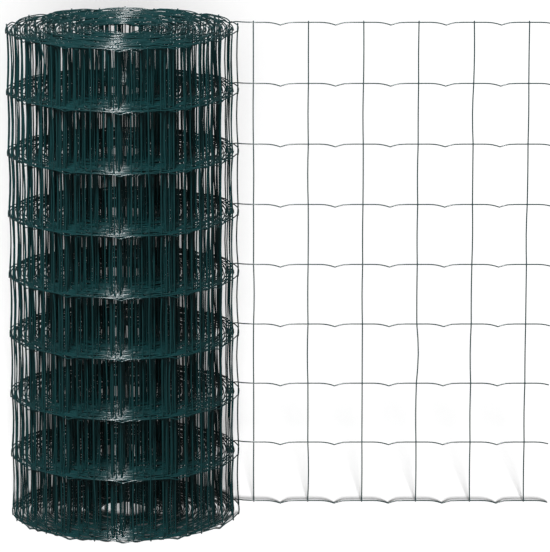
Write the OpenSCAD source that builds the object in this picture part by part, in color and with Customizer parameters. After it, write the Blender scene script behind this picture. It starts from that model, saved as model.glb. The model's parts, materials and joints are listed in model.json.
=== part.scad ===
// A roll of green coated wire fencing, standing on its end with its loose end paid out.
// The origin is on the floor, on the axis of the roll: +Z goes up the roll, +X along the loose end.
// The fence is one welded sheet, in two nodes: the wound part is one turned solid, and the loose
// end, from where it leaves the roll, has every wire as a bar.

/* [Mesh] */
// Number of rows of openings between the lowest and the highest line wire
rows = 8; // [2:1:16]
// Height from one line wire to the next
row_pitch = 100; // [40:1:160]
// Distance along the fence from one stay wire to the next
stay_pitch = 89; // [50:1:160]
// Line wire over its coating
line_d = 1.9; // [1.6:0.1:3]
// Stay wire over its coating
stay_d = 2.2; // [1.6:0.1:3]
// How far a line wire and a stay are pressed into each other at a weld
weld_bite = 0.6; // [0.3:0.1:0.9]
// How far a stay stands past the outermost line wires
stay_nub = 1.5; // [1.2:0.1:4]
// How far each V crimp dips below its line wire
crimp_depth = 4.5; // [2.5:0.1:7]

/* [Roll] */
// Bore down the middle of the roll, left by the winding mandrel
bore_d = 80; // [50:1:160]
// Number of turns wound on the roll
turns = 44; // [6:1:60]
// Radial step from one turn to the next
turn_pitch = 3.4; // [3:0.1:8]
// Depth of the grooves between the turns, on both ends
end_groove = 2.5; // [1:0.1:4]
// How far the stays bow in between two line wires on the outermost turn
stay_bow = 3; // [1:0.1:3.5]

/* [Loose end] */
// Number of stay wires on the loose end
loose_stays = 6; // [1:1:12]
// How far the line wires run on past the last stay
tail = 40; // [10:1:45]
// Distance of the flat run behind the axis of the roll
run_offset = 45; // [0:1:90]
// Radius of the bend where the fence leaves the roll
bend_r = 38; // [30:1:150]
// Straight fence from the end of the bend to the first stay
first_gap = 2; // [2:1:40]
// Clearance between the start of each loose wire and the roll
seat_gap = 0.3; // [0.2:0.1:1]

/* [Hidden] */

coat_green = [0.03, 0.16, 0.14];
wire_sides = 6;
stay_sides = 8;
band_slope = 14;   // height over which the outermost turn draws in beside each line wire
bend_steps = 6;
weld_spread = (line_d + stay_d) / 2 - weld_bite;

// Levels, from the lowest crimp tip, which rests on the floor
line_level = [for (i = [0:rows]) crimp_depth + line_d / 2 + i * row_pitch];
top_level = line_level[rows];
stay_bottom = line_level[0] - line_d / 2 - stay_nub;
stay_top = top_level + line_d / 2 + stay_nub;
land_top = top_level + line_d / 2;

// Radii of the roll, and of the outermost line wires, which lie just inside the outermost stays
bore_r = bore_d / 2;
roll_r = bore_r + turns * turn_pitch;
line_r = roll_r - stay_d / 2 - weld_spread;

// The fence leaves the roll where a bend of bend_r brings it parallel to +X, run_offset behind the axis.
// Its wires start where their inner side clears the roll by seat_gap, by the cosine rule on the bend.
to_bend = line_r + bend_r;
exit_angle = asin((run_offset + bend_r) / to_bend);
bend_centre = to_bend * [cos(exit_angle), sin(exit_angle)];
inner_r = bend_r + line_d / 2;
clear_r = roll_r + seat_gap;
start_turn = acos((to_bend * to_bend + inner_r * inner_r - clear_r * clear_r) / (2 * to_bend * inner_r));
full_turn = 90 - exit_angle;
first_stay_x = bend_centre[0] + first_gap;
run_end_x = first_stay_x + (loose_stays - 1) * stay_pitch + tail;

// A crimp's points: place as a share of the stay pitch, drop as a share of the crimp depth
crimp = [[0.2, 0], [0.42, 0.5], [0.49, 1], [0.56, 0.55], [0.7, 0]];

// Half of one end's outline, at height 0 with its grooves going up: a flat land and a groove for each turn
function end_points() = [
    for (k = [0:turns - 1]) let (r = bore_r + k * turn_pitch) each [
        [r, 0],
        [r + line_d, 0],
        [r + (line_d + turn_pitch) / 2, end_groove]
    ]
];

// The outermost turn's outline beside one line wire: full radius over the wire and its crimp
function band_points(level) = [
    if (level > line_level[0]) [roll_r - stay_bow, level - line_d / 2 - crimp_depth - band_slope],
    [roll_r, max(stay_bottom, level - line_d / 2 - crimp_depth)],
    [roll_r, min(stay_top, level + line_d)],
    if (level < top_level) [roll_r - stay_bow, level + line_d + band_slope]
];

function reversed(list) = [for (i = [len(list) - 1:-1:0]) list[i]];

module roll() {
    low_end = end_points();
    high_end = [for (p = reversed(end_points())) [p[0], land_top - p[1]]];
    outside = [for (level = line_level) each band_points(level)];
    color(coat_green)
        rotate_extrude($fn = 180)
            polygon(concat(low_end, outside, high_end));
}

// The line wires' route in plan: round the bend from the roll, then along +X.
// Each entry is a place, the horizontal direction across the wire, and the drop of the crimp there.
function bend() = [
    for (i = [0:bend_steps])
        let (
            turned = start_turn + i * (full_turn - start_turn) / bend_steps,
            across = [cos(exit_angle + turned), sin(exit_angle + turned)]
        )
        [bend_centre - bend_r * across, across, 0]
];
function flat_run() = [
    for (k = [0:loose_stays - 1], c = crimp)
        let (along = (k + c[0]) * stay_pitch)
        if (first_stay_x + along < run_end_x)
            [[first_stay_x + along, run_offset], [0, 1], c[1] * crimp_depth]
];
function run_end() = [[[run_end_x, run_offset], [0, 1], crimp_drop(tail / stay_pitch) * crimp_depth]];

// Drop of the crimp at a place between two stays, from 0 to 1, by straight steps between the crimp's points
function crimp_drop(u) = lookup(u, crimp);

route = concat(bend(), flat_run(), run_end());

// One line wire: a ring of wire_sides points at each entry of the route, joined into a closed tube
module line_wire(level) {
    n = len(route);
    points = [
        for (stop = route, i = [0:wire_sides - 1])
            let (a = 360 * i / wire_sides, across = line_d / 2 * cos(a), up = line_d / 2 * sin(a))
            [stop[0][0] + stop[1][0] * across, stop[0][1] + stop[1][1] * across, level - stop[2] + up]
    ];
    walls = [
        for (s = [0:n - 2], i = [0:wire_sides - 1])
            let (j = (i + 1) % wire_sides, a = s * wire_sides, b = (s + 1) * wire_sides)
            [b + i, b + j, a + j, a + i]
    ];
    near_cap = [for (i = [0:wire_sides - 1]) i];
    far_cap = [for (i = [wire_sides - 1:-1:0]) (n - 1) * wire_sides + i];
    polyhedron(points, concat([near_cap], walls, [far_cap]));
}

module stay_wire(x) {
    translate([x, run_offset + weld_spread, stay_bottom])
        cylinder(d = stay_d, h = stay_top - stay_bottom, $fn = stay_sides);
}

module loose_end() {
    color(coat_green) {
        for (level = line_level)
            line_wire(level);
        for (k = [0:loose_stays - 1])
            stay_wire(first_stay_x + k * stay_pitch);
    }
}

roll();
loose_end();
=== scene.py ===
import json
import math

import bpy
import numpy as np
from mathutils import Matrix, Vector


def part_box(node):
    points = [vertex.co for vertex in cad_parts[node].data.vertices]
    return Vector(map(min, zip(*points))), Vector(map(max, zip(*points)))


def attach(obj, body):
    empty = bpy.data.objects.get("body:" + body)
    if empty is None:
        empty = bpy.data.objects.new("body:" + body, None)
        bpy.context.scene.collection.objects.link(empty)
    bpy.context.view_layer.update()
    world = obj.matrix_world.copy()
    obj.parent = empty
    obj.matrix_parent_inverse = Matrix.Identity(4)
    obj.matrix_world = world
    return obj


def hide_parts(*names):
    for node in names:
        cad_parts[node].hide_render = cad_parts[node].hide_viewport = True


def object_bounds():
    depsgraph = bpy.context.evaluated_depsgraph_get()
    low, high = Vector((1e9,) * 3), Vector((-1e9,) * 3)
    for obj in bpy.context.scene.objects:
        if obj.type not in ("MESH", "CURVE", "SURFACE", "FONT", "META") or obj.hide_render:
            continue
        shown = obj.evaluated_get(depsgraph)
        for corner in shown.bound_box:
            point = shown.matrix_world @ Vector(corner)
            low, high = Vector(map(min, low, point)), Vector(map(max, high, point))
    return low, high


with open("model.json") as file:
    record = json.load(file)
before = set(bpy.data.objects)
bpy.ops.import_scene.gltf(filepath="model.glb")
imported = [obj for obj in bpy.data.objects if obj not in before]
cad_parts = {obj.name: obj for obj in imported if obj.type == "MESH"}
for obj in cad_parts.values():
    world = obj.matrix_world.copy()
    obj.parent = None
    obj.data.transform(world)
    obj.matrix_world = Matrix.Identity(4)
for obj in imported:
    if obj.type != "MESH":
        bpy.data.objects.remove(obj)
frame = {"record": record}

cad_low, cad_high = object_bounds()


# ---- Line wires -------------------------------------------------------------------------------
# The level wires of the fence: steel wire drawn to 1.5 mm, galvanised and coated to 1.9 mm in
# green PVC. A V crimp pressed into each, between every two stays, lets the fence be strained.
# Each is one wire, from its end at the bore, round every turn of the roll, to its cut loose end.

line_d = 0.0019
core_d = 0.0015
stay_d = 0.0022
weld_bite = 0.0006
weld_spread = (line_d + stay_d) / 2 - weld_bite
row_pitch = 0.1
stay_pitch = 0.089
crimp_depth = 0.0045
crimp_starts = 0.2  # where the crimp lies between two stays, as shares of the stay pitch
crimp_tip = 0.49
crimp_ends = 0.7
turns = 44
bend_r = 0.038
first_gap = 0.002
winding_stretch = 1.0125  # the winding pull opens the crimps, so the cells lie a little longer
core_shows = 0.0004
cut_back = 0.0003  # a cut that is square to the dipping wire leans this far past its middle

roll_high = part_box("roll")[1]
run_low, run_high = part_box("loose_end")
rows = round((run_high.z - run_low.z) / row_pitch)
line_levels = crimp_depth + line_d / 2 + row_pitch * np.arange(rows + 1)
bore_r = next(m for m in frame["record"]["mounts"] if m["name"] == "core_bore")["dims"]["r_mm"] / 1000
outer_r = roll_high.x - stay_d / 2 - weld_spread
inner_r = bore_r + line_d / 2
turn_pitch = (outer_r - inner_r) / turns
run_y = run_low.y + line_d / 2

# The bend that brings the fence off the roll and parallel to +X
leaves_at = math.asin((run_y + bend_r) / (outer_r + bend_r))
bend_x = (outer_r + bend_r) * math.cos(leaves_at)
bend_y = run_y + bend_r
bend_turn = math.pi / 2 - leaves_at

# Distances along the fence, inwards from the first stay of the loose end
first_stay_x = bend_x + first_gap
run_starts = first_stay_x - run_high.x + cut_back
roll_starts = first_gap + bend_r * bend_turn
roll_ends = roll_starts + (outer_r + inner_r) / 2 * turns * math.tau / winding_stretch


def waver(s, seed, lengths):
    """A wandering number between -1 and 1 along the fence: the mean of one sine for each wavelength, each
    with its own seeded phase."""
    phases = np.random.default_rng(seed).uniform(0, math.tau, len(lengths))
    return np.mean([np.sin(math.tau * s / length + phase) for length, phase in zip(lengths, phases)], axis=0)


def plan(s):
    """The even route seen from above, and the direction out of the roll across the sheet, at distances s. The
    loose end lies straight along X, and the bend turns clockwise about its centre. The roll is a spiral that
    falls by turn_pitch in each turn, so the angle it has turned is the root of a quadratic in its length."""
    fall = turn_pitch / math.tau
    wound = np.clip(s - roll_starts, 0, None) * winding_stretch
    turned = (outer_r - np.sqrt(outer_r**2 - 2 * fall * wound)) / fall
    angle = leaves_at + turned
    radius = outer_r - fall * turned
    bent = np.clip((s - first_gap) / bend_r, 0, bend_turn)
    out = np.where(
        s > roll_starts,
        np.stack([np.cos(angle), np.sin(angle)]),
        np.stack([np.sin(bent), np.cos(bent)]),
    )
    place = np.where(
        s > roll_starts,
        radius * out,
        np.stack([bend_x + np.clip(first_gap - s, 0, None) - bend_r * out[0], bend_y - bend_r * out[1]]),
    )
    return np.moveaxis(place, 0, -1), np.moveaxis(out, 0, -1)


def on_roll(s, fade_in, fade_out=0.25):
    """1 on the roll, and falling to 0 in straight ramps before the bend and before the bore."""
    return np.clip((s - roll_starts) / fade_in, 0, 1) * np.clip((roll_ends - s) / fade_out, 0, 1)


outermost_turn = math.tau * outer_r
stands_off = 0.0045
rises_from, rises_over = 0.55, 0.35  # as shares of the outermost turn
ducked_by, ducks_over = 1.05, 0.13


def loosened(s):
    """How far the outermost turn stands off the roll before it ducks under the loose end: a squared sine up
    over a third of the turn, and another back down where it ducks under."""
    share = (s - roll_starts) / outermost_turn
    up = np.sin(math.pi / 2 * np.clip((share - rises_from) / rises_over, 0, 1)) ** 2
    down = np.sin(math.pi / 2 * np.clip((ducked_by - share) / ducks_over, 0, 1)) ** 2
    return stands_off * up * down


flat_depth = 0.0004
outermost_flat = 0.0008
slow_slack = 0.0004
slipped = 0.0007
slipped_per_metre = 0.0018


def slack(s):
    """How far inside its even spiral the sheet lies. Between two crimps it is a parabola, since the wire
    bends most at the crimps, deeper on the outermost turn. A slow waver is added, and the distance that the
    outermost turn is loosened by is taken off."""
    between_crimps = (-s / stay_pitch - crimp_tip) % 1
    outermost = np.clip(1 - (s - roll_starts) / outermost_turn, 0, 1)
    flats = (flat_depth + outermost_flat * outermost) * 4 * between_crimps * (1 - between_crimps)
    slow = slow_slack * (1 + waver(s, 3, (0.083, 0.21, 0.34))) * on_roll(s, 1.2)
    return flats * on_roll(s, 0.12) + slow - loosened(s)


def settled(s, height):
    """How far the sheet has slipped down the roll as it was wound: a waver that starts on the outermost turn,
    and grows with the height, since the lowest wires already stand on the floor."""
    slips = 1 + waver(s, 5, (0.37, 0.61, 1.15, 2.9))
    return (slipped + slipped_per_metre * height) * slips * on_roll(s, 1.4)


def on_sheet(s, height, outward):
    """Points at distances s along the fence, at a height and a distance outward from its line wires, and the
    outward direction there."""
    place, out = plan(s)
    place = place + out * (outward - slack(s))[..., None]
    level = np.zeros_like(s)
    return (
        np.concatenate([place, (height - settled(s, height))[..., None]], axis=-1),
        np.concatenate([out, level[..., None]], axis=-1),
    )


def wires(name, centres, across, radii, sides, finishes, cut=False):
    """Closed round tubes, one for each row of centres. A ring's corner is its centre plus its radius times
    (cos a across + sin a up), where up is square to across and to the wire. A cut wire shows its core: its
    first and last walls and its two ends take the second finish."""
    count, rings = centres.shape[:2]
    up = np.cross(np.gradient(centres, axis=1), across)
    up /= np.linalg.norm(up, axis=2, keepdims=True)
    a = math.tau * np.arange(sides) / sides
    spokes = across[:, :, None] * np.cos(a)[:, None] + up[:, :, None] * np.sin(a)[:, None]
    points = centres[:, :, None] + np.broadcast_to(radii, (count, rings))[..., None, None] * spokes
    corner = np.arange(count * rings * sides).reshape(count, rings, sides)
    beside = np.roll(corner, -1, axis=2)
    walls = np.stack([corner[:, :-1], beside[:, :-1], beside[:, 1:], corner[:, 1:]], axis=3)
    caps = np.stack([corner[:, 0, ::-1], corner[:, -1]])
    smooth = np.ones((count, rings - 1, sides), bool)
    bare = np.zeros((count, rings - 1, sides), np.int32)
    if cut:
        smooth[:, [1, -2]] = False
        bare[:, [0, -1]] = 1
    cap_count = 2 * count
    corners = np.concatenate([walls.ravel(), caps.ravel()]).astype(np.int32)
    sizes = np.concatenate([np.full(bare.size, 4), np.full(cap_count, sides)]).astype(np.int32)
    mesh = bpy.data.meshes.new(name)
    mesh.vertices.add(corner.size)
    mesh.vertices.foreach_set("co", points.astype(np.float32).ravel())
    mesh.loops.add(corners.size)
    mesh.loops.foreach_set("vertex_index", corners)
    mesh.polygons.add(sizes.size)
    mesh.polygons.foreach_set("loop_start", np.concatenate([[0], np.cumsum(sizes)[:-1]]).astype(np.int32))
    mesh.polygons.foreach_set("use_smooth", np.concatenate([smooth.ravel(), np.zeros(cap_count, bool)]))
    for finish in finishes:
        mesh.materials.append(finish)
    mesh.polygons.foreach_set(
        "material_index", np.concatenate([bare.ravel(), np.full(cap_count, int(cut), np.int32)])
    )
    mesh.update(calc_edges=True)
    mesh.validate()
    piece = bpy.data.objects.new(name, mesh)
    bpy.context.scene.collection.objects.link(piece)
    return piece


class Shade:
    """One output in a material's nodes. Arithmetic on it adds Math nodes, and node() adds any other node."""

    def __init__(self, tree, socket=None):
        self.tree = tree
        self.socket = socket

    def node(self, kind, settings=None, inputs=None, output=0):
        """Adds a node, makes its settings, then fills its sockets with numbers, colours or other outputs."""
        new = self.tree.nodes.new(kind)
        for name, value in (settings or {}).items():
            setattr(new, name, value)
        for name, value in (inputs or {}).items():
            if isinstance(value, Shade):
                self.tree.links.new(value.socket, new.inputs[name])
            else:
                new.inputs[name].default_value = value
        return Shade(self.tree, new.outputs[output] if new.outputs else None)

    def math(self, operation, first, second):
        return self.node("ShaderNodeMath", {"operation": operation}, {0: first, 1: second})

    def __add__(self, other):
        return self.math("ADD", self, other)

    def __mul__(self, other):
        return self.math("MULTIPLY", self, other)

    __radd__ = __add__
    __rmul__ = __mul__


def finish_of(name, build):
    """A material whose Principled shader is filled from the sockets that build returns."""
    material = bpy.data.materials.new(name)
    material.use_nodes = True
    tree = material.node_tree
    tree.nodes.clear()
    start = Shade(tree)
    shader = start.node("ShaderNodeBsdfPrincipled", inputs=build(start))
    start.node("ShaderNodeOutputMaterial", inputs={"Surface": shader})
    return material


def coat(start):
    """Green PVC, drawn on hot: the tone drifts slowly from turn to turn, small marks and dust make it paler,
    and the skin is faintly uneven, so its gloss breaks up."""
    place = start.node("ShaderNodeTexCoord", output="Object")
    drift = start.node("ShaderNodeTexNoise", inputs={"Vector": place, "Scale": 14.0, "Detail": 2.0})
    marks = start.node("ShaderNodeTexNoise", inputs={"Vector": place, "Scale": 260.0, "Detail": 3.0})
    skin = start.node("ShaderNodeTexNoise", inputs={"Vector": place, "Scale": 900.0, "Detail": 2.0})
    tone = start.node(
        "ShaderNodeMix",
        {"data_type": "RGBA"},
        {0: drift, 6: (0.0004, 0.0135, 0.0150, 1), 7: (0.0008, 0.0240, 0.0260, 1)},
        output=2,
    )
    scuffed = start.node(
        "ShaderNodeMix",
        {"data_type": "RGBA"},
        {0: marks * 0.30, 6: tone, 7: (0.020, 0.050, 0.052, 1)},
        output=2,
    )
    relief = start.node(
        "ShaderNodeBump", inputs={"Strength": 0.5, "Distance": 0.0001, "Height": skin * 0.6 + marks * 0.4}
    )
    return {
        "Base Color": scuffed,
        "Roughness": 0.14 + marks * 0.15,
        "Normal": relief,
        "IOR": 1.5,
    }


def bare_steel(start):
    """The galvanised core at a shear cut: bright zinc grey with darker streaks."""
    place = start.node("ShaderNodeTexCoord", output="Object")
    streaks = start.node("ShaderNodeTexNoise", inputs={"Vector": place, "Scale": 2200.0, "Detail": 2.0})
    tone = start.node(
        "ShaderNodeMix",
        {"data_type": "RGBA"},
        {0: streaks, 6: (0.30, 0.31, 0.32, 1), 7: (0.62, 0.63, 0.64, 1)},
        output=2,
    )
    return {"Base Color": tone, "Metallic": 1.0, "Roughness": 0.30 + streaks * 0.2}


green_coat = finish_of("green_pvc_coat", coat)
cut_core = finish_of("galvanised_core", bare_steel)

# Rings along one cell, as shares of the stay pitch from a stay going +X, closest at the crimp
ring_shares = np.array([0, 0.12, 0.21, 0.29, 0.36, 0.42, 0.462, 0.49, 0.52, 0.57, 0.65, 0.8])
last_stay = math.floor(roll_ends / stay_pitch)
first_stay = math.ceil(run_starts / stay_pitch)
cells = np.arange(first_stay - 1, last_stay + 2)
line_s = np.sort((cells[:, None] - ring_shares).ravel() * stay_pitch)
end_room = 0.002
line_s = line_s[(line_s > run_starts + end_room) & (line_s < roll_ends - end_room)]
line_s = np.concatenate([
    [run_starts, run_starts + core_shows, run_starts + core_shows],
    line_s,
    [roll_ends - core_shows, roll_ends - core_shows, roll_ends],
])
line_radii = np.full(line_s.size, line_d / 2)
line_radii[[0, 1, -2, -1]] = core_d / 2


def crimp_drop(s):
    """How far a crimp dips: from nothing where it starts, steeper and steeper to its tip, and back up to
    nothing where it ends, each side a power of the way along it."""
    along = (-s / stay_pitch) % 1
    near = np.clip((along - crimp_starts) / (crimp_tip - crimp_starts), 0, 1) ** 2.2
    far = np.clip((crimp_ends - along) / (crimp_ends - crimp_tip), 0, 1) ** 1.5
    return crimp_depth * np.where(along < crimp_tip, near, far)


line_sides = 6
sway_depth = 0.0008
sprung_in = 0.0007
freedom = np.sin(math.pi * ((-line_s / stay_pitch) % 1)) * on_roll(line_s, 0.3)
for number, level in enumerate(line_levels, 1):
    sway = sway_depth * waver(line_s, 10 + number, (0.061, 0.13, 0.29)) * freedom
    height = level - crimp_drop(line_s) - sway
    outward = -sprung_in * (1 + waver(line_s, 30 + number, (0.07, 0.17, 0.41))) * freedom
    centres, across = on_sheet(line_s, height, outward)
    centres[:, 2] = np.clip(centres[:, 2], line_d / 2, None)
    name = f"line_wire_{number}"
    finishes = [green_coat, cut_core]
    wire = wires(name, centres[None], across[None], line_radii, line_sides, finishes, cut=True)
    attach(wire, "root")
    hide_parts("roll", "loose_end")


# ---- Stay wires -------------------------------------------------------------------------------
# The upright wires: 1.8 mm galvanised steel, 2.2 mm over its green PVC, welded to the outside of
# every line wire. On the roll they spring in a little between the bands that the line wires make.

stay_bow = 0.0021
least_bow = 0.0008
stay_lean = 0.0008
stay_nub = 0.0015
nub_round = 0.0005
nub_share = 0.6
stay_parts = 4
stay_sides = 6
bent_stays = {8: (7, 0.011)}  # stay number: the row where something has pulled it aside, and how far

stays = np.arange(first_stay, last_stay + 1)
stay_s = stays * stay_pitch
steps = np.arange(rows * stay_parts + 1)
row_share = (steps / stay_parts) % 1
stay_z = line_levels[0] + steps * row_pitch / stay_parts
loose_nature = np.random.default_rng(17)
free = np.sin(math.pi * row_share)
row_of = np.minimum(steps // stay_parts, rows - 1)
wound_share = on_roll(stay_s, 0.1, 0.05)[:, None]
reach = np.linalg.norm(plan(stay_s)[0], axis=1)[:, None] / outer_r
sprung = stay_bow * reach * (1 + 0.25 * loose_nature.standard_normal((len(stays), rows)))[:, row_of]
leaning = stay_lean * loose_nature.standard_normal((len(stays), rows))[:, row_of]
bow = np.clip(sprung, least_bow, None) * free * wound_share
lean = leaning * free
for stay, (row, pulled) in bent_stays.items():
    share = np.clip(steps / stay_parts - row, 0, 1)
    lean[stay - first_stay] += pulled * np.minimum(share / 0.6, (1 - share) / 0.4)

ends = np.array([-line_d / 2 - stay_nub, -line_d / 2 - stay_nub + nub_round])
stay_z = np.concatenate([line_levels[0] + ends, stay_z, line_levels[-1] - ends[::-1]])
bow = np.pad(bow, ((0, 0), (2, 2)))
lean = np.pad(lean, ((0, 0), (2, 2)))
stay_radii = np.full(stay_z.size, stay_d / 2)
stay_radii[[0, -1]] *= nub_share
centres, across = on_sheet(stay_s[:, None] + lean, np.broadcast_to(stay_z, bow.shape), weld_spread - bow)
stay_wires = wires("stay_wires", centres, across, stay_radii, stay_sides, [green_coat])
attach(stay_wires, "root")
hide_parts("roll", "loose_end")


# ---- Welds ------------------------------------------------------------------------------------
# Each crossing is a resistance weld, made before coating. The hot PVC gathers in the corners
# round it and sets as a small bead that swallows the crossing.

bead_r = 0.0016
bead_reach = 0.0013
bead_rings = np.array([-1.0, -0.55, 0.55, 1.0])
bead_radii = bead_r * np.array([0.45, 0.95, 0.95, 0.45])
bead_out = weld_spread * 0.55
bead_sides = 6

weld_s, weld_z = np.meshgrid(stay_s, line_levels, indexing="ij")
middle, out = on_sheet(weld_s.ravel(), weld_z.ravel(), np.full(weld_s.size, bead_out))
centres = middle[:, None] + out[:, None] * (bead_reach * bead_rings)[:, None]
upright = np.broadcast_to(np.array([0.0, 0.0, 1.0]), centres.shape)
weld_beads = wires("weld_beads", centres, upright, bead_radii, bead_sides, [green_coat])
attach(weld_beads, "root")
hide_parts("roll", "loose_end")


# ---- Floor, light and camera ------------------------------------------------------------------
# A pale floor that runs on as the backdrop. The wires have one soft light, high in front, and even light all
# round. The floor has a low, soft sun of its own from the camera's side, so the shadows lie behind the fence.


def plain(start):
    """Pale matt paint, lit a little from within so that no shadow on it is deep."""
    return {
        "Base Color": (0.92, 0.92, 0.92, 1),
        "Roughness": 0.9,
        "Emission Color": (1, 1, 1, 1),
        "Emission Strength": 0.04,
    }


floor_half = 60.0
floor_corners = [(x * floor_half, y * floor_half, 0) for x, y in ((-1, -1), (1, -1), (1, 1), (-1, 1))]
floor_mesh = bpy.data.meshes.new("floor")
floor_mesh.from_pydata(floor_corners, [], [(0, 1, 2, 3)])
floor_mesh.materials.append(finish_of("pale_floor", plain))
floor = bpy.data.objects.new("floor", floor_mesh)
bpy.context.scene.collection.objects.link(floor)
floor.visible_diffuse = False
floor.visible_glossy = False

middle = (cad_low + cad_high) / 2


def studio_light(name, kind, place, strength, settings, lit):
    """A light at a place, turned towards the middle of the object, that lights only the pieces in lit."""
    lamp = bpy.data.lights.new(name, kind)
    lamp.energy = strength
    for setting, value in settings.items():
        setattr(lamp, setting, value)
    light = bpy.data.objects.new(name, lamp)
    light.location = place
    light.rotation_euler = (middle - Vector(place)).to_track_quat("-Z", "Y").to_euler()
    bpy.context.scene.collection.objects.link(light)
    reached = bpy.data.collections.new(f"lit_by_{name}")
    for piece in lit:
        reached.objects.link(piece)
    light.light_linking.receiver_collection = reached


fence_pieces = [piece for piece in bpy.context.scene.objects if piece.type == "MESH" and piece is not floor]
key_power = 460
studio_light("key_light", "AREA", (-0.4, -3.2, 3.3), key_power, {"size": 1.1}, fence_pieces)

# The camera looks along +Y and a little down, from well back
camera_distance = 7.19
camera_tilt = math.radians(13.18)
aim = Vector((0.2462, 0.0, 0.3966))
camera_place = aim + camera_distance * Vector((0, -math.cos(camera_tilt), math.sin(camera_tilt)))

# The floor's sun comes from the camera's bearing, a little lower than the camera looks
sun_slope = math.tan(math.radians(9.5))
sun_strength = 19
from_sun = Vector((camera_place.x / -camera_place.y, -1, sun_slope))
studio_light("floor_sun", "SUN", middle + from_sun, sun_strength, {"angle": math.radians(6)}, [floor])

world = bpy.data.worlds.new("studio")
world.use_nodes = True
sky = world.node_tree.nodes["Background"]
sky.inputs["Color"].default_value = (1, 1, 1, 1)
sky.inputs["Strength"].default_value = 0.12
bpy.context.scene.world = world
bpy.context.scene.view_settings.view_transform = "Standard"

lens = bpy.data.cameras.new("camera")
lens.lens = 289.3
lens.clip_end = 200
camera = bpy.data.objects.new("camera", lens)
camera.location = camera_place
camera.rotation_euler = (math.pi / 2 - camera_tilt, 0, 0)
bpy.context.scene.collection.objects.link(camera)
bpy.context.scene.camera = camera

bpy.context.view_layer.update()
